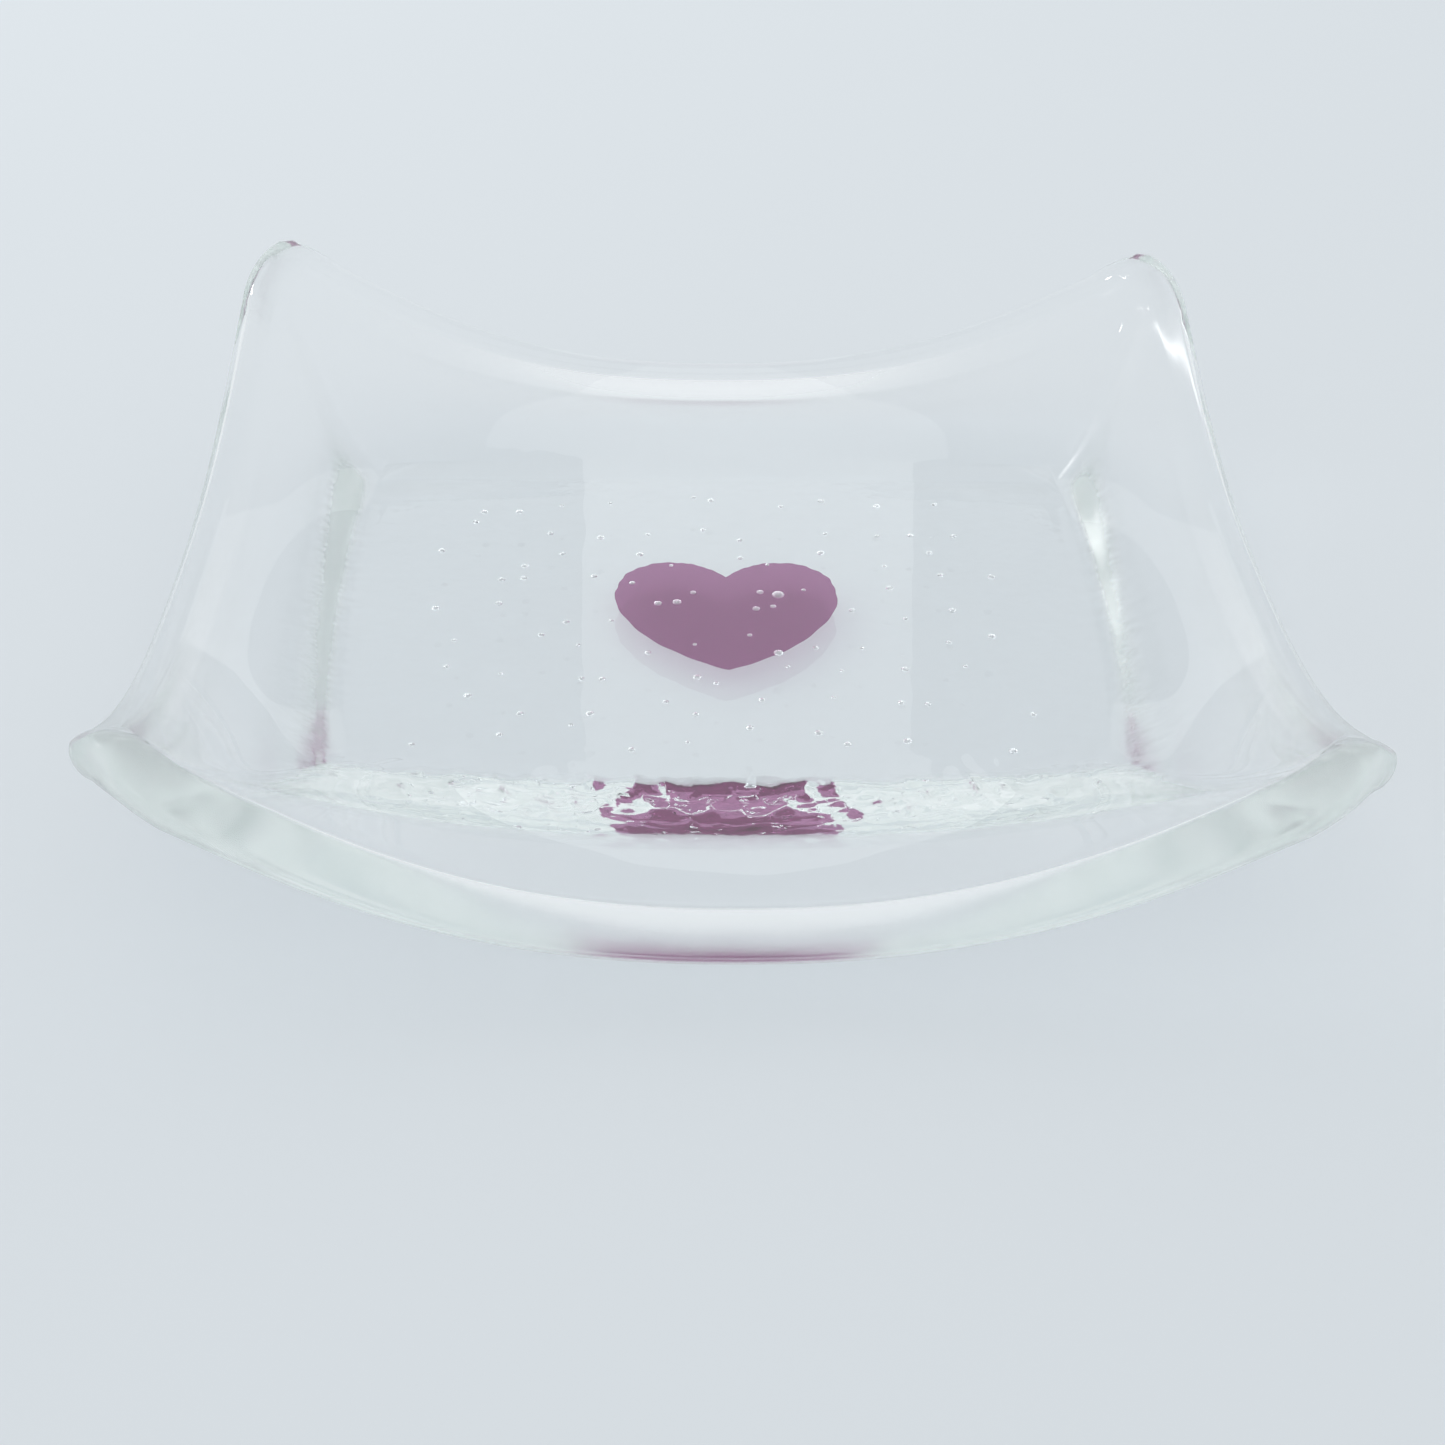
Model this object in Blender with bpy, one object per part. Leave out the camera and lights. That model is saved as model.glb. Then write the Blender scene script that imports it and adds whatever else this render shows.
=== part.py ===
"""Small square fused-glass trinket dish with a plum glass heart sealed in its base.

Two sheets of clear glass, with a heart cut from plum glass between them, are fired into one slab and
then slumped into a mould. The slab ends with a flat rectangular base, a low wall that flares and thins
all round and four raised corners. Its mould face bends at a crease and its fired face bends softly.
Here the three pieces of glass stay three closed solids, parted by a small seam gap, so that each can
be told apart.

Units are metres and +Z is up. The origin is on the table, under the middle of the dish, and -Y is
the front.
"""

import bmesh
import bpy
from math import atan2, ceil, copysign, cos, pi, sin, sqrt, tanh
from mathutils import Vector

MM = 0.001

# The fused slab
BASE_THICKNESS = 6.05 * MM
RIM_THICKNESS = 4.5 * MM        # the wall thins as it slumps
SEAM_GAP = 0.3 * MM

# Plan of the rim, measured to the foot of its rounding
SIDE_REACH = 48.7 * MM          # from the middle out to the middle of a side
CORNER_REACH = 46.1 * MM        # the same where two sides meet, drawn in by the raised corner
CORNER_ROUND = 5.8 * MM         # rounding of the corners

# Fire-polished rim
RIM_DEPTH = 2.55 * MM           # how far its rounding stands out
RIM_SQUARENESS = 1.6            # 2 is a half circle and less is more pointed
RIM_DROOP = 0.27                # how far its tip lies below the middle, as a share of half the edge

# Rise of the rim above the table, measured to the middle of the glass
SIDE_RISE = 5.95 * MM
CORNER_RISE = 21.15 * MM
LEAN_RIGHT = -0.45 * MM         # how much higher than that the right corners are, and the left ones lower
LEAN_BACK = 1.0 * MM            # the same for the back and front corners
RIM_SWEEP = 2.3                 # power with which the rim climbs from mid side to corner
CORNER_FOLD = 12.0              # how tightly the wall folds along the diagonal

# Flat base that the mould leaves, from the middle out to its crease
BASE_HALF_WIDTH = 34.1 * MM
BASE_SPREAD = 2.5 * MM          # how much wider than that it grows towards the back
BASE_BACK = 29.5 * MM
BASE_FRONT = 26.2 * MM
CREASE_CORNER = 0.7 * MM        # how softly two creases run into each other
FRONT_TURN = 0.15               # share of the wall over which the front bend turns into the side bends

# How each face climbs the wall: where its bend lies past the crease, half the bend's width, both as
# shares of the wall, and its ease, which above 1 makes it start steep and end flatter at the rim
MOULD_START, MOULD_BEND, MOULD_FRONT_BEND, MOULD_EASE = 0.0, 0.03, 0.1, 2.8
FIRED_START, FIRED_BEND, FIRED_EASE = 0.35, 0.283, 0.98
MOULD_THINNING_EASE, FIRED_THINNING_EASE = 3.22, 2.42

# Heart inlay, seen from above with its tip to the front. It lies on the lower sheet.
HEART_WIDTH = 20.8 * MM
HEART_LENGTH = 18.8 * MM
HEART_THICKNESS = 1.25 * MM
HEART_NOTCH = 2.8 * MM          # depth of the notch below the lobes
HEART_EDGE = 0.25 * MM          # softened edge
HEART_SHIFT_X = 0.3 * MM
HEART_SHIFT_Y = -0.8 * MM       # the heart lies a little forward of the middle

# Mesh density
CELL = 2.8 * MM
RIM_ROWS = 4
HEART_STEPS = 7

# Step of the sheet coordinates over which slopes are measured
SLOPE_STEP = 0.01

# Derived sizes
ROUND_SHARE = CORNER_ROUND / SIDE_REACH
DRAW_IN = 1 - (CORNER_REACH / SIDE_REACH) ** 2
THINNING = BASE_THICKNESS - RIM_THICKNESS
LOWER_TOP = (BASE_THICKNESS - SEAM_GAP) / 2
HEART_MIDDLE = LOWER_TOP + SEAM_GAP + HEART_THICKNESS / 2
POCKET_CLEARANCE = SEAM_GAP

# The mould face of the slab and its fired face
LOWER, UPPER = -1, 1
CLIMB_EASES = {LOWER: MOULD_EASE, UPPER: FIRED_EASE}
THINNING_EASES = {LOWER: MOULD_THINNING_EASE, UPPER: FIRED_THINNING_EASE}


def clear_scene():
    """Remove every object that the file starts with."""
    for thing in list(bpy.data.objects):
        bpy.data.objects.remove(thing, do_unlink=True)


def new_collection(name):
    """Make a collection in the scene and return it."""
    collection = bpy.data.collections.new(name)
    bpy.context.scene.collection.children.link(collection)
    return collection


def glass_material(name, colour, roughness):
    """Make a clear, coloured glass."""
    material = bpy.data.materials.new(name)
    material.use_nodes = True
    shader = material.node_tree.nodes["Principled BSDF"]
    shader.inputs["Base Color"].default_value = (*colour, 1.0)
    shader.inputs["Roughness"].default_value = roughness
    shader.inputs["Metallic"].default_value = 0.0
    shader.inputs["Transmission Weight"].default_value = 1.0
    shader.inputs["IOR"].default_value = 1.52
    material.diffuse_color = (*colour, 0.5)
    return material


# The slumped slab ----------------------------------------------------------------------------------
# across and along are sheet coordinates, from -1 to 1 between opposite edges of the flat sheet.

def corner_rounded(across, along):
    """Round the corners of the square that holds the sheet coordinates."""
    inner = 1 - ROUND_SHARE
    a = (abs(across) - inner) / ROUND_SHARE
    b = (abs(along) - inner) / ROUND_SHARE
    if a <= 0 or b <= 0:
        return across, along
    rounded_across = inner + ROUND_SHARE * a * sqrt(1 - b * b / 2)
    rounded_along = inner + ROUND_SHARE * b * sqrt(1 - a * a / 2)
    return copysign(rounded_across, across), copysign(rounded_along, along)


def plan(across, along):
    """Return x and y of a sheet point. The sides draw in towards the raised corners."""
    across, along = corner_rounded(across, along)
    x = SIDE_REACH * across * sqrt(1 - DRAW_IN * along ** 2)
    y = SIDE_REACH * along * sqrt(1 - DRAW_IN * across ** 2)
    return x, y


def axis_shares(across, along):
    """Say how far up the wall a point is along each axis: 0 at the crease and 1 at the rim."""
    crease_x = BASE_HALF_WIDTH + BASE_SPREAD * along
    crease_y = BASE_BACK if along > 0 else BASE_FRONT
    share_x = (abs(across) * SIDE_REACH - crease_x) / (SIDE_REACH - crease_x)
    share_y = (abs(along) * SIDE_REACH - crease_y) / (SIDE_REACH - crease_y)
    return share_x, share_y


def wall_share(across, along):
    """Return the larger of the two axes' shares, rounded off where they are nearly equal."""
    share_x, share_y = axis_shares(across, along)
    softness = CREASE_CORNER / (SIDE_REACH - BASE_HALF_WIDTH)
    return (share_x + share_y + sqrt((share_x - share_y) ** 2 + 4 * softness ** 2)) / 2


def front_weight(across, along):
    """Return 1 where the front crease is the nearest, 0 elsewhere and a smooth step between."""
    if along >= 0:
        return 0.0
    share_x, share_y = axis_shares(across, along)
    return (1 + tanh((share_y - share_x) / FRONT_TURN)) / 2


def climbed(share, start, bend, ease):
    """Turn a wall share into a climb that is 0 on the base, bends up at its start and is 1 at the rim."""
    share -= start
    if share <= -bend:
        return 0.0
    bent = share if share >= bend else (share + bend) ** 2 / (4 * bend)
    return 1 - (1 - min(bent / (1 - start), 1.0)) ** ease


def face_climb(side, across, along, eases):
    """Return how far one face has climbed at a sheet point, with the ease that belongs to that face."""
    share = wall_share(across, along)
    if side == UPPER:
        return climbed(share, FIRED_START, FIRED_BEND, eases[side])
    bend = MOULD_BEND + (MOULD_FRONT_BEND - MOULD_BEND) * front_weight(across, along)
    return climbed(share, MOULD_START, bend, eases[side])


def corner_lift(across, along):
    """Return how much higher than a mid side the rim nearest to a point is."""
    nearest = (abs(across) ** CORNER_FOLD + abs(along) ** CORNER_FOLD) ** (1 / CORNER_FOLD)
    towards_corner = abs(across * along) / nearest if nearest > 0 else 0.0
    corner_rise = CORNER_RISE + LEAN_RIGHT * across + LEAN_BACK * along
    return (corner_rise - SIDE_RISE) * towards_corner ** RIM_SWEEP


def middle_place(side, across, along):
    """Return a point of the middle surface that one face of the glass is measured from.

    Each face climbs to the side's rise in its own way. The two faces share the extra rise of the
    corners, so that the glass keeps its thickness there.
    """
    climbs = {face: face_climb(face, across, along, CLIMB_EASES) for face in (LOWER, UPPER)}
    side_lift = (SIDE_RISE - BASE_THICKNESS / 2) * climbs[side]
    shared_lift = corner_lift(across, along) * (climbs[LOWER] + climbs[UPPER]) / 2
    return Vector((*plan(across, along), BASE_THICKNESS / 2 + side_lift + shared_lift))


def upward(side, across, along):
    """Return the upward direction square to a face's middle surface at a sheet point."""
    def at(step_across, step_along):
        return middle_place(side, min(max(across + step_across, -1), 1), min(max(along + step_along, -1), 1))

    slope_across = at(SLOPE_STEP, 0) - at(-SLOPE_STEP, 0)
    slope_along = at(0, SLOPE_STEP) - at(0, -SLOPE_STEP)
    return slope_across.cross(slope_along).normalized()


def free_place(side, across, along):
    """Return a point of the mould face or the fired face."""
    half = (BASE_THICKNESS - THINNING * face_climb(side, across, along, THINNING_EASES)) / 2
    return middle_place(side, across, along) + upward(side, across, along) * side * half


def edge_point(angle):
    """Return the sheet coordinates of the point of the sheet's edge that lies in a direction."""
    reach = max(abs(cos(angle)), abs(sin(angle)))
    return cos(angle) / reach, sin(angle) / reach


def rim_place(side, across, along, turn):
    """Return a point of the rim's rounding. turn is 0 at the face's edge and half pi at the rim's tip."""
    edges = [free_place(LOWER, across, along), free_place(UPPER, across, along)]
    middle, half = (edges[1] + edges[0]) / 2, (edges[1] - edges[0]) / 2
    angle = atan2(along, across)
    forward = middle_place(LOWER, *edge_point(angle + SLOPE_STEP)) - \
        middle_place(LOWER, *edge_point(angle - SLOPE_STEP))
    outward = forward.cross(half).normalized()
    power = 2 / RIM_SQUARENESS
    rise = side * cos(turn) ** power - RIM_DROOP * sin(turn) ** power
    return middle + half * rise + outward * RIM_DEPTH * sin(turn) ** power


# The clear layers ----------------------------------------------------------------------------------

def grid_lines():
    """Return evenly spaced sheet coordinates from -1 to 1."""
    cells = 2 * ceil(SIDE_REACH / CELL)
    return [2 * step / cells - 1 for step in range(cells + 1)]


def flat_layer(count):
    """Make a flat layer as a unit block: a grid below, a grid above and rows of faces round the edge."""
    layer = bmesh.new()
    bmesh.ops.create_grid(layer, x_segments=count, y_segments=count, size=1.0)
    top = bmesh.ops.extrude_face_region(layer, geom=layer.faces[:])["geom"]
    bmesh.ops.translate(layer, verts=[part for part in top if isinstance(part, bmesh.types.BMVert)],
                        vec=(0.0, 0.0, 1.0))
    upright = [edge for edge in layer.edges if edge.verts[0].co.z != edge.verts[1].co.z]
    bmesh.ops.subdivide_edges(layer, edges=upright, cuts=RIM_ROWS, use_grid_fill=True)
    return layer


def layer_place(side, across, along, height):
    """Return the place in a slumped layer of a point of the flat unit block.

    The block's bottom becomes the seam face and its top the free face. The rows between them, which
    run round the edge only, become the rim's rounding, from its tip to the edge of the free face.
    """
    lower, upper = free_place(LOWER, across, along), free_place(UPPER, across, along)
    upright = (upper - lower).normalized() * side * SEAM_GAP / 2
    if height <= 0.0:
        return (lower + upper) / 2 + upright
    if height >= 1.0:
        return free_place(side, across, along)
    row = round(height * (RIM_ROWS + 1)) - 1
    tip_share = 1 - row / RIM_ROWS
    place = rim_place(side, across, along, tip_share * pi / 2)
    return place + upright if row == 0 else place


def clear_layer(name, side, material, collection):
    """Make one clear layer: a flat block slumped to shape, with its half of the fire-polished rim."""
    lines = grid_lines()
    count = len(lines) - 1
    layer = flat_layer(count)
    for vert in layer.verts:
        across = lines[round((vert.co.x + 1) / 2 * count)]
        along = lines[round((vert.co.y + 1) / 2 * count)]
        vert.co = layer_place(side, across, along, vert.co.z)
    if layer.calc_volume(signed=True) < 0:
        bmesh.ops.reverse_faces(layer, faces=layer.faces)
    mesh = bpy.data.meshes.new(name)
    layer.to_mesh(mesh)
    layer.free()
    solid = bpy.data.objects.new(name, mesh)
    mesh.materials.append(material)
    collection.objects.link(solid)
    return solid


# The heart -----------------------------------------------------------------------------------------

def heart_points():
    """Return the heart's outline as Bezier points: place, handle before it and handle after it.

    The right half is set out in shares of half the width and half the length, from the notch round
    to the tip. The left half mirrors it.
    """
    notch_y = 1 - 2 * HEART_NOTCH / HEART_LENGTH
    notch = ((0.0, notch_y), (-0.17, notch_y + 0.22), (0.17, notch_y + 0.22))
    lobe = ((0.50, 1.0), (0.31, 1.0), (0.79, 1.0))
    side = ((1.0, 0.36), (1.0, 0.75), (1.0, -0.19))
    tip = ((0.0, -1.0), (0.46, -0.81), (-0.46, -0.81))
    mirrored = [tuple((-x, y) for x, y in (place, after, before)) for place, before, after in (side, lobe)]
    outline = [notch, lobe, side, tip] + mirrored
    return [[(x * HEART_WIDTH / 2, y * HEART_LENGTH / 2, 0.0) for x, y in point] for point in outline]


def heart_curve(name, thickness, growth, edge, collection):
    """Make a heart as a flat filled curve with thickness, grown outwards all round by growth."""
    curve = bpy.data.curves.new(name, "CURVE")
    curve.dimensions = "2D"
    curve.fill_mode = "BOTH"
    curve.resolution_u = HEART_STEPS
    curve.extrude = thickness / 2 - edge
    curve.bevel_depth = edge
    curve.bevel_resolution = 0
    curve.offset = growth - edge
    spline = curve.splines.new("BEZIER")
    points = heart_points()
    spline.bezier_points.add(len(points) - 1)
    spline.use_cyclic_u = True
    for bezier, (place, before, after) in zip(spline.bezier_points, points):
        bezier.handle_left_type = bezier.handle_right_type = "FREE"
        bezier.co = place
        bezier.handle_left = before
        bezier.handle_right = after
    heart = bpy.data.objects.new(name, curve)
    heart.location = (HEART_SHIFT_X, HEART_SHIFT_Y, HEART_MIDDLE)
    collection.objects.link(heart)
    return heart


def cut_pocket(layer, cutter):
    """Cut the heart's pocket out of a clear layer."""
    pocket = layer.modifiers.new("heart_pocket", "BOOLEAN")
    pocket.operation = "DIFFERENCE"
    pocket.solver = "EXACT"
    pocket.object = cutter


def pocket_cutter(collection):
    """Make the cutter that leaves room for the heart in the upper clear layer."""
    outline = heart_curve("heart_pocket_outline", HEART_THICKNESS + 2 * POCKET_CLEARANCE,
                          POCKET_CLEARANCE, 0.0, collection)
    bpy.context.view_layer.update()
    solid = bpy.data.meshes.new_from_object(outline.evaluated_get(bpy.context.evaluated_depsgraph_get()))
    cutter = bpy.data.objects.new("heart_pocket_cutter", solid)
    cutter.matrix_world = outline.matrix_world.copy()
    collection.objects.link(cutter)
    bpy.data.objects.remove(outline, do_unlink=True)
    cutter.hide_render = True
    cutter.display_type = "WIRE"
    return cutter


def build():
    """Build the dish."""
    clear_scene()
    dish = new_collection("glass_heart_dish")
    cutters = new_collection("cutters")
    clear_glass = glass_material("clear_glass", (0.86, 0.94, 0.90), 0.03)
    cap_glass = glass_material("clear_glass_cap", (0.90, 0.96, 0.95), 0.03)
    plum_glass = glass_material("plum_glass", (0.29, 0.06, 0.24), 0.06)
    clear_layer("lower_clear_layer", LOWER, clear_glass, dish)
    upper = clear_layer("upper_clear_layer", UPPER, cap_glass, dish)
    heart = heart_curve("heart_inlay", HEART_THICKNESS, 0.0, HEART_EDGE, dish)
    heart.data.materials.append(plum_glass)
    cut_pocket(upper, pocket_cutter(cutters))


build()
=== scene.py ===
"""A small square dish of clear glass with a plum glass heart sealed in its base, on a pale table.

Two clear sheets were fired into one slab round a heart cut from plum glass, and the slab was slumped in
a mould. It is shown as one clear body with two faces: the mould face below, with a crisp crease round
its flat base and a faint grain, and the fired face above, which bends softly and is smooth. The heart
and a scatter of small bubbles lie inside it, so they are seen through the glass, and again from the
side in the front wall, which throws the view along the inside of the slab.

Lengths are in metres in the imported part's own frame: +Z is up, -Y is the front, and the origin is on
the table under the middle of the dish.
"""

import logging
import math
from dataclasses import dataclass, field
from enum import Enum

import bpy
import numpy as np
from mathutils import Matrix, Vector


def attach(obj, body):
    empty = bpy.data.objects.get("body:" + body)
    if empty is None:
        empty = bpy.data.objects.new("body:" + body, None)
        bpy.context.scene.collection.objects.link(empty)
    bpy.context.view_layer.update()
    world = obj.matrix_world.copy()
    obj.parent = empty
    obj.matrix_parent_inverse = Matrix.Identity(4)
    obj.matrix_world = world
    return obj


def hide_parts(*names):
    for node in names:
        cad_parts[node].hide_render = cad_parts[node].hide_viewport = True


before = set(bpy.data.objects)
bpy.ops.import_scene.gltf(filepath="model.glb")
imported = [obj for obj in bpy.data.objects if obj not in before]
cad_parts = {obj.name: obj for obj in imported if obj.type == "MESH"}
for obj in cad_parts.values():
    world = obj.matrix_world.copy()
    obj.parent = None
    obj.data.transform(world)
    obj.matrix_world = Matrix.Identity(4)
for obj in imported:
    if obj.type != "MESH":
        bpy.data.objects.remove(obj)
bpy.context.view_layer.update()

LOG = logging.getLogger("dish")
MM = 0.001
BODY = "root"
BOUNCES = 32        # light crosses the slab many times before it leaves

Colour = tuple[float, float, float]
Place = tuple[float, float, float]


class Face(Enum):
    """The two faces of the slab, each with the side of the glass that it lies on."""

    FIRED = 1
    MOULD = -1


# Shader maths ------------------------------------------------------------------------------------------

class Shade:
    """A number or colour on a shader socket that can be used in Python expressions."""

    def __init__(self, graph: "Graph", socket: bpy.types.NodeSocket) -> None:
        """Wrap one output socket of a graph."""
        self.graph = graph
        self.socket = socket

    def maths(self, operation: str, *values: object) -> "Shade":
        """Add a Math node on plain values or shades.

        Args:
            operation: the Math node's operation.
            values: its inputs in order.

        Returns:
            The node's result.
        """
        node = self.graph.node("ShaderNodeMath", {"operation": operation}, dict(enumerate(values)))
        return Shade(self.graph, node.outputs[0])

    def __add__(self, other: object) -> "Shade":
        """Return self + other."""
        return self.maths("ADD", self, other)

    def __mul__(self, other: object) -> "Shade":
        """Return self * other."""
        return self.maths("MULTIPLY", self, other)

    __radd__ = __add__
    __rmul__ = __mul__

    def larger(self, other: object) -> "Shade":
        """Return the larger of self and other."""
        return self.maths("MAXIMUM", self, other)


class Graph:
    """The node tree of a material or a world, emptied and ready to be filled."""

    def __init__(self, owner: bpy.types.Material | bpy.types.World) -> None:
        """Take over the owner's node tree."""
        owner.use_nodes = True
        self.tree = owner.node_tree
        self.tree.nodes.clear()

    def node(self, kind: str, settings: dict[str, object] | None = None,
             inputs: dict[str | int, object] | None = None) -> bpy.types.Node:
        """Add a node.

        Args:
            kind: the node's type name.
            settings: properties, which are set first.
            inputs: a value or a link for each named or numbered input socket.

        Returns:
            The new node.
        """
        node = self.tree.nodes.new(kind)
        for name, value in (settings or {}).items():
            setattr(node, name, value)
        for name, value in (inputs or {}).items():
            if isinstance(value, Shade):
                value = value.socket
            if isinstance(value, bpy.types.NodeSocket):
                self.tree.links.new(value, node.inputs[name])
            else:
                node.inputs[name].default_value = value
        return node

    def shade(self, kind: str, output: str | int, settings: dict[str, object] | None = None,
              inputs: dict[str | int, object] | None = None) -> Shade:
        """Add a node and return one of its outputs, with the arguments of node()."""
        return Shade(self, self.node(kind, settings, inputs).outputs[output])


def opaque(colour: Colour) -> tuple[float, float, float, float]:
    """Return a colour with full alpha, as colour sockets take it."""
    return (*colour, 1.0)


# Meshes ------------------------------------------------------------------------------------------------

def signed_volume(points: np.ndarray, faces: list[np.ndarray]) -> float:
    """Return a closed shape's volume: the sum of the tetrahedra from the origin to each triangle."""
    total = 0.0
    for group in faces:
        for last in range(2, group.shape[1]):
            a, b, c = points[group[:, 0]], points[group[:, last - 1]], points[group[:, last]]
            total += float(np.einsum("ij,ij->", a, np.cross(b, c))) / 6
    return total


def smooth_mesh(name: str, points: np.ndarray, faces: list[np.ndarray]) -> bpy.types.Mesh:
    """Make a smooth closed mesh whose faces point outwards.

    Args:
        name: the mesh's name.
        points: one row for each vertex.
        faces: arrays of faces, three or four vertices to a row.

    Returns:
        The mesh.
    """
    if signed_volume(points, faces) < 0:
        faces = [group[:, ::-1] for group in faces]
    corners = np.concatenate([group.ravel() for group in faces])
    sizes = np.concatenate([np.full(len(group), group.shape[1]) for group in faces])
    mesh = bpy.data.meshes.new(name)
    mesh.vertices.add(len(points))
    mesh.vertices.foreach_set("co", points.ravel())
    mesh.loops.add(len(corners))
    mesh.loops.foreach_set("vertex_index", corners)
    mesh.polygons.add(len(sizes))
    mesh.polygons.foreach_set("loop_start", np.cumsum(sizes) - sizes)
    mesh.polygons.foreach_set("use_smooth", np.ones(len(sizes), dtype=bool))
    mesh.update(calc_edges=True)
    mesh.validate()
    return mesh


def grid_faces(index: np.ndarray) -> np.ndarray:
    """Return the four-cornered faces between neighbours in a table of vertex numbers."""
    return np.stack([index[:-1, :-1], index[1:, :-1], index[1:, 1:], index[:-1, 1:]], axis=-1).reshape(-1, 4)


def add_piece(mesh: bpy.types.Mesh, material: bpy.types.Material, slot: str, *nodes: str) -> bpy.types.Object:
    """Put a finished mesh into the scene as a piece of the dish.

    Args:
        mesh: the piece's mesh, in its place.
        material: its finish.
        slot: not used.
        nodes: the CAD nodes that it stands for.

    Returns:
        The new object, which has the mesh's name.
    """
    piece = bpy.data.objects.new(mesh.name, mesh)
    mesh.materials.append(material)
    bpy.context.scene.collection.objects.link(piece)
    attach(piece, BODY)
    if nodes:
        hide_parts(*nodes)
    return piece


# Finishes ----------------------------------------------------------------------------------------------

def glass_output(graph: Graph, surface: object, shadow: Colour, depth: object = None) -> None:
    """Finish a glass: light reaches what lies behind it.

    Args:
        graph: the material's graph.
        surface: the surface shader's socket.
        shadow: what the surface lets through to what it shades.
        depth: the volume shader's socket, where the glass has one.
    """
    path = graph.node("ShaderNodeLightPath")
    clear = graph.node("ShaderNodeBsdfTransparent", inputs={"Color": opaque(shadow)})
    mixed = graph.node("ShaderNodeMixShader",
                       inputs={0: path.outputs["Is Shadow Ray"], 1: surface, 2: clear.outputs[0]})
    inputs = {"Surface": mixed.outputs[0]} | ({"Volume": depth} if depth else {})
    graph.node("ShaderNodeOutputMaterial", inputs=inputs)


@dataclass(frozen=True)
class ClearGlass:
    """Clear glass: a faint green in its depth, polished by fire above and grained by the mould below.

    Each haze is a roughness. The slab says where each one lies.
    """

    name: str = "clear_fused_glass"
    tint: Colour = (0.80, 0.93, 0.86)
    density: float = 4.0
    index: float = 1.52
    mould_haze: float = 0.02
    wall_haze: float = 0.18             # under the side and back walls
    rim_haze: float = 0.22
    grain: float = 1.6 * MM
    grain_depth: float = 0.020 * MM
    ripple: float = 9.0 * MM
    ripple_depth: float = 0.025 * MM
    shadow: Colour = (0.97, 0.98, 0.98)

    def material(self) -> bpy.types.Material:
        """Make the glass: fine noise, the grain, on the mould face, and a slow ripple on both."""
        material = bpy.data.materials.new(self.name)
        graph = Graph(material)
        place = graph.node("ShaderNodeTexCoord").outputs["Object"]
        mould = graph.shade("ShaderNodeAttribute", "Fac", {"attribute_name": ClearSlab.MOULD_SHARE})
        grain = graph.shade("ShaderNodeTexNoise", "Fac",
                            inputs={"Vector": place, "Scale": 1 / self.grain, "Detail": 2.0})
        ripple = graph.shade("ShaderNodeTexNoise", "Fac",
                             inputs={"Vector": place, "Scale": 1 / self.ripple, "Detail": 1.0})
        height = grain * mould * self.grain_depth + ripple * self.ripple_depth
        bump = graph.node("ShaderNodeBump", inputs={"Height": height, "Distance": 1.0, "Strength": 1.0})
        surface = graph.node("ShaderNodeBsdfPrincipled",
                             inputs={"Base Color": opaque((1.0, 1.0, 1.0)), "IOR": self.index,
                                     "Transmission Weight": 1.0, "Normal": bump.outputs[0],
                                     "Roughness": graph.shade("ShaderNodeAttribute", "Fac",
                                                              {"attribute_name": ClearSlab.HAZE})})
        depth = graph.node("ShaderNodeVolumeAbsorption",
                           inputs={"Color": opaque(self.tint), "Density": self.density})
        glass_output(graph, surface.outputs[0], self.shadow, depth.outputs[0])
        return material


@dataclass(frozen=True)
class PlumGlass:
    """Transparent plum glass of the same make, so that only its colour parts it from the clear glass."""

    name: str = "plum_heart_glass"
    tint: Colour = (0.455, 0.175, 0.36)
    index_step: float = 1.002
    cloud: float = 2.5 * MM
    cloud_depth: float = 0.04 * MM
    shadow: Colour = (0.86, 0.84, 0.88)

    def material(self) -> bpy.types.Material:
        """Make the glass, with a slow unevenness where the sheets met."""
        material = bpy.data.materials.new(self.name)
        graph = Graph(material)
        place = graph.node("ShaderNodeTexCoord").outputs["Object"]
        cloud = graph.shade("ShaderNodeTexNoise", "Fac",
                            inputs={"Vector": place, "Scale": 1 / self.cloud, "Detail": 3.0})
        bump = graph.node("ShaderNodeBump",
                          inputs={"Height": cloud * self.cloud_depth, "Distance": 1.0, "Strength": 1.0})
        surface = graph.node("ShaderNodeBsdfPrincipled",
                             inputs={"Base Color": opaque(self.tint), "IOR": self.index_step,
                                     "Roughness": 0.0, "Transmission Weight": 1.0,
                                     "Normal": bump.outputs[0]})
        glass_output(graph, surface.outputs[0], self.shadow)
        return material


@dataclass(frozen=True)
class TrappedAir:
    """Air inside the glass: the step from glass to air, taken the other way round, half of it a painted silvery
    sheen.
    """

    name: str = "trapped_air"
    index: float = 1 / 1.52
    # painted sheen: a near-white colour on half the surface that stands in for the silvery reflection of air in
    # glass
    painted_sheen: Colour = (0.97, 0.98, 1.0)
    roughness: float = 0.1
    # the other half is the real clear step from glass to air
    clearness: float = 0.5

    def material(self) -> bpy.types.Material:
        """Make the air: half a clear step from glass to air, half a near-white painted sheen."""
        material = bpy.data.materials.new(self.name)
        graph = Graph(material)
        surface = graph.node("ShaderNodeBsdfPrincipled",
                             inputs={"Base Color": opaque(self.painted_sheen), "IOR": self.index,
                                     "Roughness": self.roughness, "Transmission Weight": self.clearness})
        graph.node("ShaderNodeOutputMaterial", inputs={"Surface": surface.outputs[0]})
        return material


# The slumped slab --------------------------------------------------------------------------------------

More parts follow.
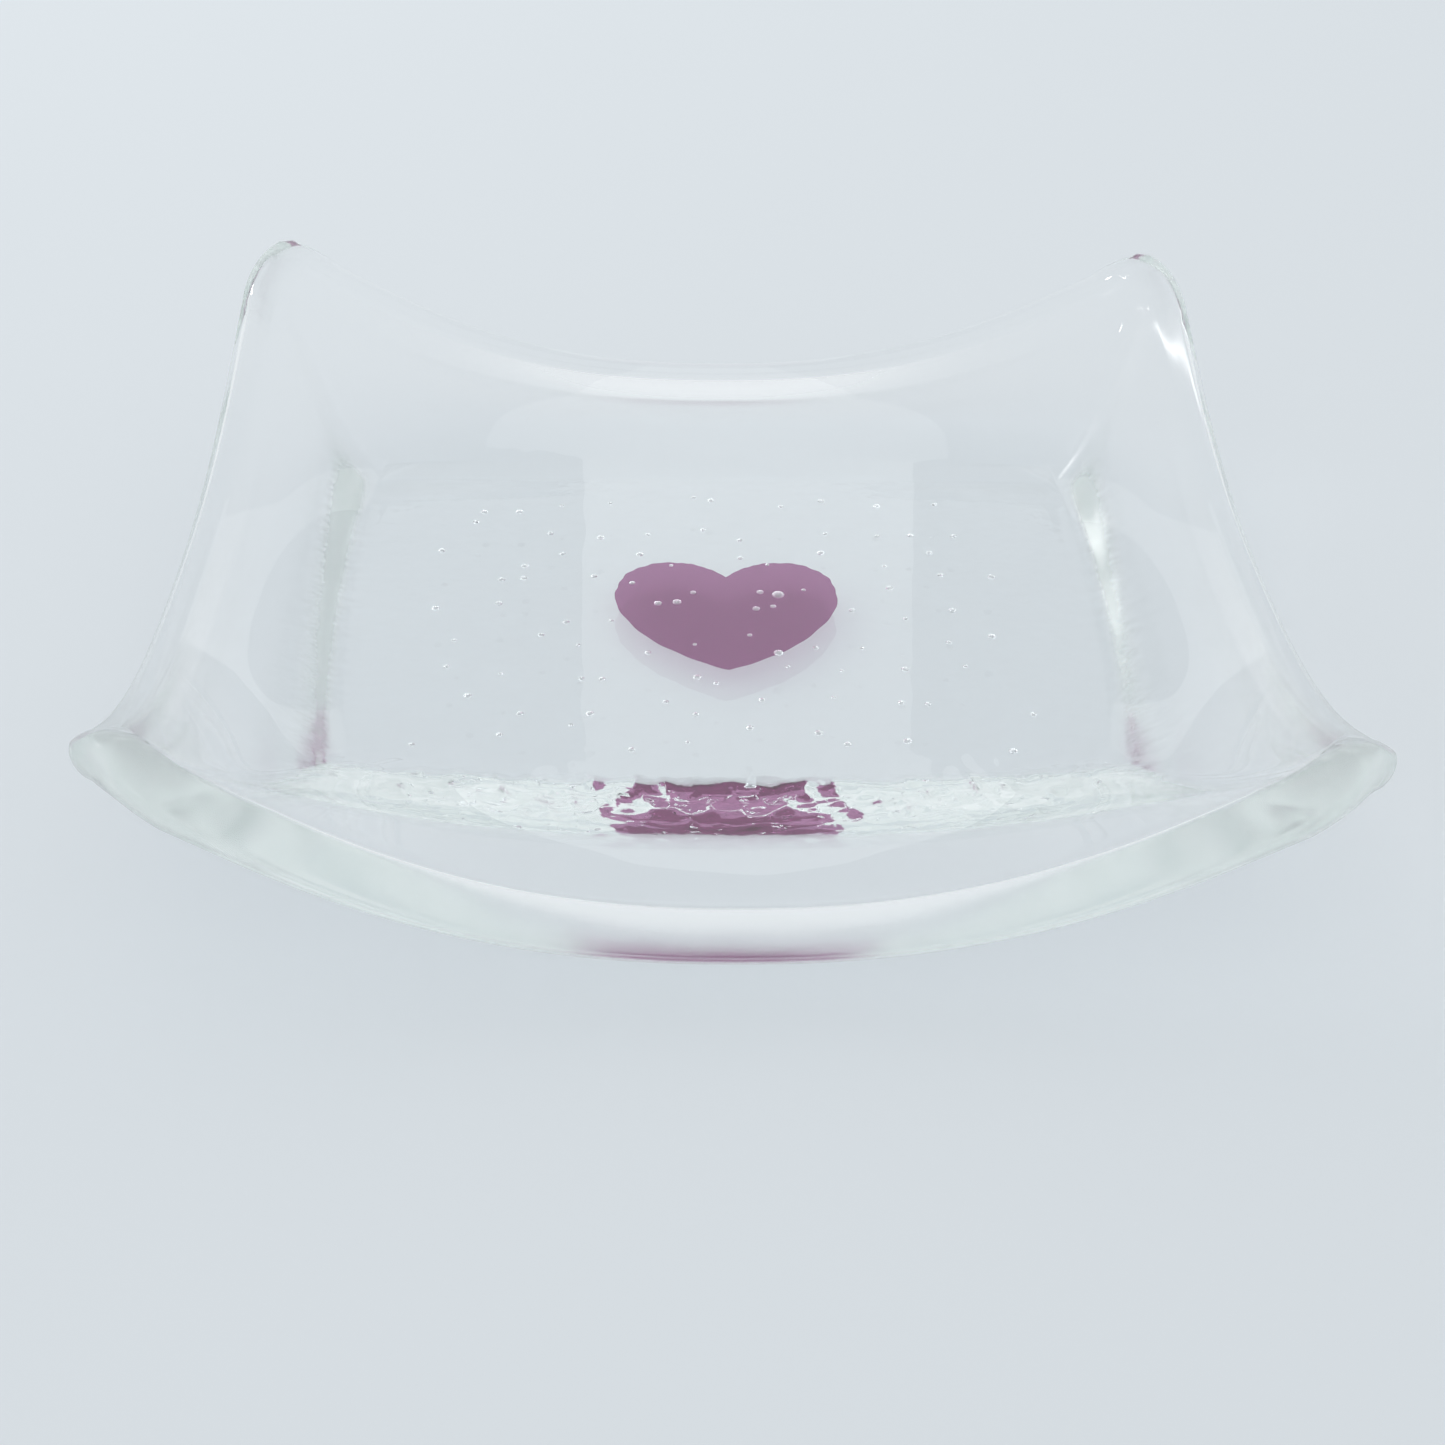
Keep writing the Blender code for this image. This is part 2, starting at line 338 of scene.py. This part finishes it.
@dataclass
class SlumpedSheet:
    """The form of the sheet: a flat base, a wall that climbs from a crease to the rim, and raised corners."""

    side_reach: float = 48.7 * MM       # from the middle to the foot of the rim's rounding
    corner_reach: float = 46.1 * MM
    corner_round: float = 0.12          # rounding of the plan's corners, as a share of the reach
    side_rise: float = 5.95 * MM        # middle of the rim above the table, at mid side
    corner_rise: float = 21.15 * MM     # and at the corners
    corner_lean: tuple[float, float] = (-0.45 * MM, 1.0 * MM)   # how much higher to the right and the back
    sweep: float = 2.3                  # power with which the rim climbs from mid side to corner
    corner_fold: float = 12.0           # how tightly the wall folds along the diagonal
    base_half_width: float = 34.1 * MM
    base_spread: float = 2.5 * MM       # how much wider than that it grows towards the back
    base_back: float = 29.5 * MM
    base_front: float = 26.2 * MM
    crease_corner: float = 0.05         # how softly two creases meet, as a share of the wall
    front_turn: float = 0.15            # over how much of the wall the front's bend turns into the sides'
    waver: float = 0.012                # how far the mould's crease strays, as a share of the wall
    waver_lengths: tuple[float, float] = (1.8 * MM, 7.0 * MM)
    waver_waves: int = 14
    waver_reach: float = 1 / 3          # how far from the crease the straying dies out, as a share of the wall
    side_waver: float = 0.08            # how much of it the sides and the back have
    seed: int = 5

    def rounded(self, across: np.ndarray, along: np.ndarray) -> tuple[np.ndarray, np.ndarray]:
        """Round the four corners of the square that holds the sheet coordinates.

        In each corner square, a point at (a, b) goes to (a sqrt(1 - b b / 2), b sqrt(1 - a a / 2)),
        which turns the square's outer corner into a quarter circle.

        Args:
            across: sheet coordinate from -1 on the left edge to 1 on the right.
            along: sheet coordinate from -1 on the front edge to 1 on the back.

        Returns:
            The two coordinates after rounding.
        """
        inner = 1 - self.corner_round
        a = np.clip((np.abs(across) - inner) / self.corner_round, 0, 1)
        b = np.clip((np.abs(along) - inner) / self.corner_round, 0, 1)
        in_corner = (a > 0) & (b > 0)
        new_across = np.sign(across) * (inner + self.corner_round * a * np.sqrt(1 - b * b / 2))
        new_along = np.sign(along) * (inner + self.corner_round * b * np.sqrt(1 - a * a / 2))
        return np.where(in_corner, new_across, across), np.where(in_corner, new_along, along)

    def plan(self, across: np.ndarray, along: np.ndarray) -> tuple[np.ndarray, np.ndarray]:
        """Return x and y: the reach times each coordinate, drawn in as the other one nears its edge."""
        across, along = self.rounded(across, along)
        drawn = 1 - (self.corner_reach / self.side_reach) ** 2
        x = self.side_reach * across * np.sqrt(1 - drawn * along ** 2)
        y = self.side_reach * along * np.sqrt(1 - drawn * across ** 2)
        return x, y

    def wall_share(self, across: np.ndarray, along: np.ndarray) -> np.ndarray:
        """Return 0 at the crease of the base and 1 at the rim: the larger of the two axes' shares, softly."""
        share_x, share_y = self.axis_shares(across, along)
        gap = np.sqrt((share_x - share_y) ** 2 + 4 * self.crease_corner ** 2)
        return (share_x + share_y + gap) / 2

    def axis_shares(self, across: np.ndarray, along: np.ndarray) -> tuple[np.ndarray, np.ndarray]:
        """Return the wall shares of the two axes: each coordinate's place between its crease and the rim."""
        base_x = self.base_half_width + self.base_spread * along
        base_y = np.where(along > 0, self.base_back, self.base_front)
        share_x = (np.abs(across) * self.side_reach - base_x) / (self.side_reach - base_x)
        share_y = (np.abs(along) * self.side_reach - base_y) / (self.side_reach - base_y)
        return share_x, share_y

    def wavering(self, across: np.ndarray, along: np.ndarray) -> np.ndarray:
        """Return how far the mould's worn crease strays, as a share of the wall.

        It is a sum of sine waves of many lengths and directions, divided by the root of half their count,
        that dies out away from the crease and is strongest in front.

        Args:
            across: sheet coordinates from left to right.
            along: sheet coordinates from front to back.

        Returns:
            What to add to the wall share at each point.
        """
        chance = np.random.default_rng(self.seed)
        x, y = across * self.side_reach, along * self.side_reach
        total = np.zeros_like(x)
        for length in np.geomspace(*self.waver_lengths, self.waver_waves):
            turn, start = chance.uniform(0, 2 * math.pi, 2)
            total += np.sin((x * math.cos(turn) + y * math.sin(turn)) * 2 * math.pi / length + start)
        near = np.clip(1 - np.abs(self.wall_share(across, along)) / self.waver_reach, 0, 1)
        strength = self.side_waver + (1 - self.side_waver) * self.front_weight(across, along)
        return self.waver * total / math.sqrt(self.waver_waves / 2) * near * strength

    def front_weight(self, across: np.ndarray, along: np.ndarray) -> np.ndarray:
        """Return 1 where the front crease is the nearest and 0 elsewhere, with a smooth step between."""
        share_x, share_y = self.axis_shares(across, along)
        return np.where(along < 0, 0.5 * (1 + np.tanh((share_y - share_x) / self.front_turn)), 0.0)

    def corner_lift(self, across: np.ndarray, along: np.ndarray) -> np.ndarray:
        """Return how much higher than a mid side the rim nearest to a point is."""
        fold = self.corner_fold
        nearest = (np.abs(across) ** fold + np.abs(along) ** fold) ** (1 / fold)
        corner = np.abs(across * along) / np.maximum(nearest, 1e-6)
        lean = self.corner_lean[0] * across + self.corner_lean[1] * along
        return (self.corner_rise + lean - self.side_rise) * corner ** self.sweep


@dataclass
class Climb:
    """How one face climbs the wall: 0 on the base and 1 at the rim.

    The wall share, less a start, goes through a bend, and the climb is 1 - (1 - share) to the power of its
    ease. The bend reaches its softness to either side of the start.
    """

    softness: float
    front_softness: float
    start: float
    ease: float

    def at(self, share: np.ndarray, front: np.ndarray) -> np.ndarray:
        """Return the climb at each wall share, where front says how much the front bend counts."""
        share = share - self.start
        softness = self.softness + (self.front_softness - self.softness) * front
        bend = (share + softness) ** 2 / (4 * softness)
        bent = np.where(share < -softness, 0.0, np.where(share > softness, share, bend))
        return 1 - (1 - np.clip(bent / (1 - self.start), 0, 1)) ** self.ease


@dataclass
class ClearSlab:
    """The clear body: both faces of the slumped slab and the fire-polished rim that joins them."""

    MOULD_SHARE = "mould_share"
    HAZE = "haze"

    sheet: SlumpedSheet = field(default_factory=SlumpedSheet)
    finish: ClearGlass = field(default_factory=ClearGlass)
    base_thickness: float = 6.05 * MM
    rim_thickness: float = 4.5 * MM
    rim_depth: float = 2.55 * MM                # how far the rim's rounding stands out
    rim_squareness: float = 1.6                 # 2 is a half circle, less is more pointed
    rim_droop: float = 0.27                     # how far its tip lies below the middle, in halves of the edge
    mould_climb: Climb = field(default_factory=lambda: Climb(0.03, 0.1, 0.0, 2.8))
    fired_climb: Climb = field(default_factory=lambda: Climb(0.283, 0.283, 0.35, 0.98))
    mould_thinning: Climb = field(default_factory=lambda: Climb(0.03, 0.1, 0.0, 3.22))
    fired_thinning: Climb = field(default_factory=lambda: Climb(0.283, 0.283, 0.35, 2.42))
    wall_haze_span: tuple[float, float] = (-0.1, 0.025)     # the wall shares over which it comes in
    rim_haze_start: float = 5 / 6               # the wall share from which the rim's haze comes in
    rim_haze_turn: float = 0.4                  # how far back, from front to back, it would run out
    rim_haze_least: float = 0.15                # and the share of it that stays all round
    grain_end: float = 0.8                      # the wall share at which the mould's grain ends
    grain_slope: float = 1.5
    cells: int = 200
    rim_rows: int = 16

    def middle(self, side: Face, across: np.ndarray, along: np.ndarray) -> np.ndarray:
        """Return the middle surface that one face is measured from.

        Its height is half the base's thickness, plus the side's lift times the face's own climb, plus the
        corner's lift times the mean climb of the two faces.

        Args:
            side: which face, which says how softly the wall bends.
            across: sheet coordinates from left to right.
            along: sheet coordinates from front to back.

        Returns:
            An array of places, one for each sheet point.
        """
        share, front = self.sheet.wall_share(across, along), self.sheet.front_weight(across, along)
        worn = share + self.sheet.wavering(across, along)
        climbs = {Face.FIRED: self.fired_climb.at(share, front), Face.MOULD: self.mould_climb.at(worn, front)}
        x, y = self.sheet.plan(across, along)
        side_lift = (self.sheet.side_rise - self.base_thickness / 2) * climbs[side]
        shared = self.sheet.corner_lift(across, along) * sum(climbs.values()) / 2
        return np.stack([x, y, self.base_thickness / 2 + side_lift + shared], axis=-1)

    def face(self, side: Face, across: np.ndarray, along: np.ndarray) -> np.ndarray:
        """Return one face: half the glass, less its thinning, away from the middle along its normal."""
        middle = self.middle(side, across, along)
        normals = np.cross(np.gradient(middle, axis=0), np.gradient(middle, axis=1))
        ends, inner = [[0], [-1]], [[1], [-2]]      # at a corner point the two edges lie in one line
        normals[ends, [0, -1]] = normals[inner, [1, -2]]
        normals /= np.linalg.norm(normals, axis=-1, keepdims=True)
        thinning = self.fired_thinning if side is Face.FIRED else self.mould_thinning
        share, front = self.sheet.wall_share(across, along), self.sheet.front_weight(across, along)
        lost = (self.base_thickness - self.rim_thickness) * thinning.at(share, front)
        return middle + normals * (side.value * (self.base_thickness - lost) / 2)[..., None]

    def rim(self, fired: np.ndarray, mould: np.ndarray) -> list[np.ndarray]:
        """Return the rows of the rounded rim between the edges of the two faces.

        Each row is the middle of the edge, plus half the edge times cos to a power, plus the outward
        direction times the rim's depth times sin to a power: a half circle, or a squarer curve.

        Args:
            fired: the fired face's edge, once round.
            mould: the mould face's edge.

        Returns:
            The rows from the fired face to the mould face.
        """
        middle, half = (fired + mould) / 2, (fired - mould) / 2
        forward = np.roll(middle, -1, axis=0) - np.roll(middle, 1, axis=0)
        outward = np.cross(forward, half)
        outward /= np.linalg.norm(outward, axis=1)[:, None]
        if np.einsum("ij,ij->", outward, middle) < 0:
            outward = -outward
        turns = np.linspace(0, math.pi, self.rim_rows + 2)[1:-1]
        power = 2 / self.rim_squareness
        rise = np.sign(np.cos(turns)) * np.abs(np.cos(turns)) ** power - self.rim_droop * np.sin(turns) ** power
        reach = self.rim_depth * np.sin(turns) ** power
        return [middle + half * up + outward * out for up, out in zip(rise, reach)]

    def haze(self, across: np.ndarray, along: np.ndarray, loop: np.ndarray) -> np.ndarray:
        """Return the roughness at each vertex: none on the fired face, most round the front of the rim.

        Args:
            across: sheet coordinates from left to right.
            along: sheet coordinates from front to back.
            loop: the vertex numbers of the fired face's edge, once round.

        Returns:
            The values for the fired face, the rim and the mould face, in that order.
        """
        share, front = self.sheet.wall_share(across, along), self.sheet.front_weight(across, along)
        near_rim = np.clip((share - self.rim_haze_start) / (1 - self.rim_haze_start), 0, 1)
        first, last = self.wall_haze_span
        on_wall = np.clip((share - first) / (last - first), 0, 1) * (1 - front)
        finish = self.finish
        rim = finish.rim_haze * np.clip(self.rim_haze_turn - along, self.rim_haze_least, 1)
        mould = finish.mould_haze + (finish.wall_haze - finish.mould_haze) * on_wall
        mould = np.maximum(mould, rim * near_rim)
        fired, edge = rim * near_rim, np.tile(rim.ravel()[loop], self.rim_rows)
        return np.concatenate([fired.ravel(), edge, mould.ravel()])

    def build(self) -> bpy.types.Object:
        """Build the slab and dress it."""
        line = np.linspace(-1, 1, self.cells + 1)
        across, along = np.meshgrid(line, line, indexing="ij")
        fired = self.face(Face.FIRED, across, along)
        mould = self.face(Face.MOULD, across, along)
        index = np.arange(across.size).reshape(across.shape)
        loop = np.concatenate([index[:-1, 0], index[-1, :-1], index[:0:-1, -1], index[0, :0:-1]])
        rim = self.rim(fired.reshape(-1, 3)[loop], mould.reshape(-1, 3)[loop])
        points = np.concatenate([fired.reshape(-1, 3), *rim, mould.reshape(-1, 3)])
        under = across.size + len(rim) * len(loop)
        rows = [loop] + [across.size + row * len(loop) + np.arange(len(loop)) for row in range(len(rim))]
        rows = np.stack(rows + [under + loop])
        rows = np.concatenate([rows, rows[:, :1]], axis=1)
        faces = np.concatenate([grid_faces(index), grid_faces(rows), grid_faces(index + under)[:, ::-1]])
        mesh = smooth_mesh("clear_slab", points, [faces])
        grained = np.clip((self.grain_end - self.sheet.wall_share(across, along)) * self.grain_slope, 0, 1)
        for name, values in ((self.MOULD_SHARE, np.concatenate([np.zeros(under), grained.ravel()])),
                             (self.HAZE, self.haze(across, along, loop))):
            mesh.attributes.new(name, "FLOAT", "POINT").data.foreach_set("value", values)
        return add_piece(mesh, self.finish.material(), "clear_glass", "lower_clear_layer", "upper_clear_layer")


# The heart ---------------------------------------------------------------------------------------------

@dataclass
class HeartInlay:
    """The heart cut from plum glass, a little softened by the kiln, seen from above with its tip in front."""

    finish: PlumGlass = field(default_factory=PlumGlass)
    width: float = 20.8 * MM
    length: float = 18.8 * MM
    middle: tuple[float, float] = (0.3 * MM, -0.8 * MM)
    bottom: float = 3.175 * MM
    thickness: float = 1.25 * MM
    notch: float = 2.8 * MM
    edge: float = 0.25 * MM
    steps: int = 40
    edge_rows: int = 5
    wobble: float = 0.02                # how far the kiln softened the cut edge, as a share
    inner_rings: int = 8
    inner_cuts: tuple[float, float] = (0.95, 0.1)       # the first and last ring's inset, as a share
    wobble_waves: tuple[tuple[int, float], ...] = ((13, 1.0), (31, 0.0))    # waves once round, and their start

    def outline(self) -> np.ndarray:
        """Return the outline once round, in shares of half the width and half the length.

        Cubic Bezier arcs from the notch round the right lobe to the tip, and their mirror image: each
        point is the sum of the arc's four controls weighted by (1-t)^3, 3t(1-t)^2, 3t^2(1-t) and t^3.
        """
        notch = 1 - 2 * self.notch / self.length
        arcs = np.array([
            [(0.0, notch), (0.17, notch + 0.22), (0.31, 1.0), (0.50, 1.0)],
            [(0.50, 1.0), (0.79, 1.0), (1.0, 0.75), (1.0, 0.36)],
            [(1.0, 0.36), (1.0, -0.19), (0.46, -0.81), (0.0, -1.0)],
        ])
        t = (np.arange(self.steps) / self.steps)[:, None]
        weights = [(1 - t) ** 3, 3 * t * (1 - t) ** 2, 3 * t ** 2 * (1 - t), t ** 3]
        right = np.concatenate([sum(w * control for w, control in zip(weights, arc)) for arc in arcs])
        left = right[:0:-1] * (-1, 1)
        return np.concatenate([right, [(0.0, -1.0)], left])

    def build(self) -> bpy.types.Object:
        """Build the heart: its outline in rings, from the middle, round the soft edge and back.

        A ring inset by c is the outline times 1 - c over half the width. The outline itself is drawn in
        by the wobble times a mean of sine waves between 0 and 1.

        Returns:
            The piece.
        """
        outline = self.outline() * (self.width / 2, self.length / 2)
        turn = np.linspace(0, 2 * math.pi, len(outline), endpoint=False)[:, None]
        waves = sum(np.sin(count * turn + start) for count, start in self.wobble_waves)
        outline *= 1 - self.wobble * (1 + waves / len(self.wobble_waves)) / 2
        turns = np.linspace(math.pi / 2, -math.pi / 2, 2 * self.edge_rows)
        inset = self.edge * (1 - np.cos(turns))
        height = (self.thickness / 2 - self.edge) * np.sign(np.sin(turns)) + self.edge * np.sin(turns)
        centre_z = self.bottom + self.thickness / 2
        half = self.width / 2
        inner = half * np.linspace(*self.inner_cuts, self.inner_rings)
        inset = np.concatenate([inner, inset, inner[::-1]])
        height = np.concatenate([np.full(len(inner), height[0]), height, np.full(len(inner), height[-1])])
        rings = [np.column_stack([outline * (1 - cut / half) + self.middle,
                                  np.full(len(outline), centre_z + z)]) for cut, z in zip(inset, height)]
        ends = [(*self.middle, centre_z + self.thickness / 2), (*self.middle, centre_z - self.thickness / 2)]
        points = np.concatenate([*rings, ends])
        count, rows = len(outline), len(rings)
        index = np.arange(count * rows).reshape(rows, count)
        index = np.concatenate([index, index[:, :1]], axis=1)
        top = np.column_stack([np.full(count, count * rows), index[0, :-1], index[0, 1:]])
        base = np.column_stack([np.full(count, count * rows + 1), index[-1, 1:], index[-1, :-1]])
        mesh = smooth_mesh("plum_heart", points, [grid_faces(index), top, base])
        return add_piece(mesh, self.finish.material(), "plum_glass", "heart_inlay")


# The bubbles -------------------------------------------------------------------------------------------

@dataclass
class Bubbles:
    """Small bubbles of air, caught where the two sheets fused."""

    finish: TrappedAir = field(default_factory=TrappedAir)
    height: float = 4.8 * MM
    spacing: float = 5.2 * MM
    scatter: float = 2.0 * MM
    half_width: float = 25.0 * MM
    half_length: float = 22.0 * MM
    smallest: float = 0.2 * MM
    largest: float = 0.4 * MM
    seed: int = 11
    large: tuple[tuple[float, float, float], ...] = (
        (-4.3 * MM, 0.7 * MM, 0.45 * MM), (5.1 * MM, 2.1 * MM, 0.62 * MM), (4.7 * MM, -8.2 * MM, 0.45 * MM))
    flatness: float = 0.8
    around: int = 12
    up: int = 8

    def centres(self) -> np.ndarray:
        """Return x, y and radius: a staggered grid, each point moved by chance, and the large ones."""
        chance = np.random.default_rng(self.seed)
        columns = np.arange(-self.half_width, self.half_width, self.spacing)
        rows = np.arange(-self.half_length, self.half_length, self.spacing)
        x, y = np.meshgrid(columns, rows, indexing="ij")
        x = x + (np.arange(len(rows)) % 2) * self.spacing / 2
        x, y = x.ravel(), y.ravel()
        x = x + chance.uniform(-self.scatter, self.scatter, x.size)
        y = y + chance.uniform(-self.scatter, self.scatter, y.size)
        radius = chance.uniform(self.smallest, self.largest, x.size)
        return np.concatenate([np.column_stack([x, y, radius]), self.large])

    def build(self) -> bpy.types.Object:
        """Build each bubble as a ball pressed a little flat: rings between two poles."""
        turn = np.arange(self.around) * 2 * math.pi / self.around
        tilt = np.linspace(0, math.pi, self.up + 1)[1:-1]
        out, high = np.sin(tilt)[:, None], np.cos(tilt)[:, None]
        ring = np.stack(np.broadcast_arrays(out * np.cos(turn), out * np.sin(turn), high), axis=-1)
        ring = ring.reshape(-1, 3)
        ball = np.concatenate([ring, [(0, 0, 1), (0, 0, -1)]]) * (1, 1, self.flatness)
        index = np.arange(len(ring)).reshape(self.up - 1, self.around)
        index = np.concatenate([index, index[:, :1]], axis=1)
        top = np.column_stack([np.full(self.around, len(ring)), index[0, :-1], index[0, 1:]])
        base = np.column_stack([np.full(self.around, len(ring) + 1), index[-1, 1:], index[-1, :-1]])
        spots = self.centres()
        places = np.column_stack([spots[:, :2], np.full(len(spots), self.height)])
        points = (ball[None] * spots[:, 2, None, None] + places[:, None]).reshape(-1, 3)
        offset = (np.arange(len(spots)) * len(ball))[:, None, None]
        faces = [(group[None] + offset).reshape(-1, group.shape[1]) for group in (grid_faces(index), top, base)]
        return add_piece(smooth_mesh("bubbles", points, faces), self.finish.material(), "clear_glass_cap")


# The studio --------------------------------------------------------------------------------------------

@dataclass(frozen=True)
class Lamp:
    """A rectangular lamp: where it hangs, the point that it faces, its width and height, and its watts."""

    name: str
    place: Place
    target: Place
    size: tuple[float, float]
    power: float
    mirrored: bool = False              # whether the glass mirrors it
    seen_through: bool = False          # whether the glass shows it from behind
    colour: Colour = (1.0, 0.99, 0.97)

    def hang(self) -> None:
        """Hang the lamp in the scene."""
        data = bpy.data.lights.new(self.name, "AREA")
        data.shape = "RECTANGLE"
        data.size, data.size_y = self.size
        data.energy = self.power
        data.color = self.colour
        lamp = bpy.data.objects.new(self.name, data)
        lamp.location = self.place
        lamp.visible_glossy = self.mirrored
        lamp.visible_transmission = self.seen_through
        lamp.rotation_euler = (Vector(self.target) - Vector(self.place)).to_track_quat("-Z", "Y").to_euler()
        bpy.context.scene.collection.objects.link(lamp)


@dataclass
class Studio:
    """A pale table, soft lamps, a pale surround and the camera."""

    table: Colour = (0.72, 0.775, 0.82)
    table_roughness: float = 0.9
    shown_tone: Colour = (0.70, 0.75, 0.79)
    shown: float = 0.4                  # how much of that tone the table shows, whatever shades it
    surround: Colour = (0.83, 0.87, 0.90)   # what the eye sees round the table
    sky: Colour = (0.67, 0.67, 0.67)    # the soft light that comes from all round
    lamps: tuple[Lamp, ...] = (
        Lamp("soft_lamp", (-0.35, 0.45, 0.7), (0.0, 0.0, 0.0), (0.6, 0.5), 2.75),
        Lamp("window", (0.021, 0.42, 0.285), (0.021, 0.0, 0.0), (0.104, 0.26), 0.036, mirrored=True),
        Lamp("glint_lamp", (-0.62, 0.10, 0.58), (0.0, 0.0, 0.0), (0.08, 0.05), 0.3, True, True))
    table_size: float = 6.0
    air_film: float = 0.2 * MM          # the mould's grain keeps the glass this far off the table
    camera_place: Place = (-5.51 * MM, -180.16 * MM, 110.45 * MM)
    look_down: float = 33.15
    look_right: float = 1.78
    roll: float = -1.09
    lens: float = 56.35

    def seen(self, graph: Graph) -> Shade:
        """Return 1 for what the eye sees, straight, mirrored or through glass, and 0 for light on a surface."""
        path = graph.node("ShaderNodeLightPath")
        straight, mirrored, through = (Shade(graph, path.outputs[name]) for name in (
            "Is Camera Ray", "Is Glossy Ray", "Is Transmission Ray"))
        return straight.larger(mirrored).larger(through)

    def lay_table(self) -> None:
        """Lay the table top."""
        half, top = self.table_size / 2, -self.air_film
        corners = np.array([(-half, -half, top), (half, -half, top), (half, half, top), (-half, half, top)])
        mesh = bpy.data.meshes.new("table")
        mesh.from_pydata(corners, [], [(0, 1, 2, 3)])
        material = bpy.data.materials.new("pale_table")
        graph = Graph(material)
        surface = graph.node("ShaderNodeBsdfPrincipled",
                             inputs={"Base Color": opaque(self.table), "Roughness": self.table_roughness})
        tone = graph.node("ShaderNodeEmission", inputs={"Color": opaque(self.shown_tone), "Strength": 1.0})
        mixed = graph.node("ShaderNodeMixShader", inputs={
            0: self.seen(graph) * self.shown, 1: surface.outputs[0], 2: tone.outputs[0]})
        graph.node("ShaderNodeOutputMaterial", inputs={"Surface": mixed.outputs[0]})
        mesh.materials.append(material)
        table = bpy.data.objects.new("table", mesh)
        bpy.context.scene.collection.objects.link(table)

    def surround_with_light(self) -> None:
        """Surround the stage with pale, even light."""
        world = bpy.data.worlds.new("pale_surround")
        bpy.context.scene.world = world
        graph = Graph(world)
        light = graph.node("ShaderNodeBackground", inputs={"Color": opaque(self.sky), "Strength": 1.0})
        tone = graph.node("ShaderNodeBackground", inputs={"Color": opaque(self.surround), "Strength": 1.0})
        mixed = graph.node("ShaderNodeMixShader", inputs={
            0: self.seen(graph), 1: light.outputs[0], 2: tone.outputs[0]})
        graph.node("ShaderNodeOutputWorld", inputs={"Surface": mixed.outputs[0]})

    def stand_camera(self) -> None:
        """Stand the camera where the photograph was taken from."""
        down, right, roll = (math.radians(angle) for angle in (self.look_down, self.look_right, self.roll))
        level = np.array([math.cos(right), -math.sin(right), 0.0])
        ahead = np.array([math.sin(right), math.cos(right), 0.0])
        above = np.array([0.0, 0.0, 1.0])
        forward = ahead * math.cos(down) - above * math.sin(down)
        upward = ahead * math.sin(down) + above * math.cos(down)
        columns = (math.cos(roll) * level - math.sin(roll) * upward,
                   math.sin(roll) * level + math.cos(roll) * upward, -forward, self.camera_place)
        data = bpy.data.cameras.new("camera")
        data.sensor_width = 36.0
        data.lens = self.lens
        data.clip_start = 1 * MM
        camera = bpy.data.objects.new("camera", data)
        camera.matrix_world = Matrix([[*row] for row in np.stack(columns, axis=1)] + [[0, 0, 0, 1]])
        bpy.context.scene.collection.objects.link(camera)
        bpy.context.scene.camera = camera

    def build(self) -> None:
        """Set the stage."""
        self.lay_table()
        self.surround_with_light()
        for lamp in self.lamps:
            lamp.hang()
        self.stand_camera()


def main() -> None:
    """Build the dish and its stage."""
    logging.basicConfig(level=logging.INFO, format="%(name)s: %(message)s")
    scene = bpy.context.scene
    scene.view_settings.view_transform = "Standard"
    for limit in ("max_bounces", "transmission_bounces", "glossy_bounces", "transparent_max_bounces"):
        setattr(scene.cycles, limit, BOUNCES)
    for part in (ClearSlab(), HeartInlay(), Bubbles()):
        piece = part.build()
        LOG.info("%s: %d faces", piece.name, len(piece.data.polygons))
    Studio().build()


if __name__ == "__main__":
    main()
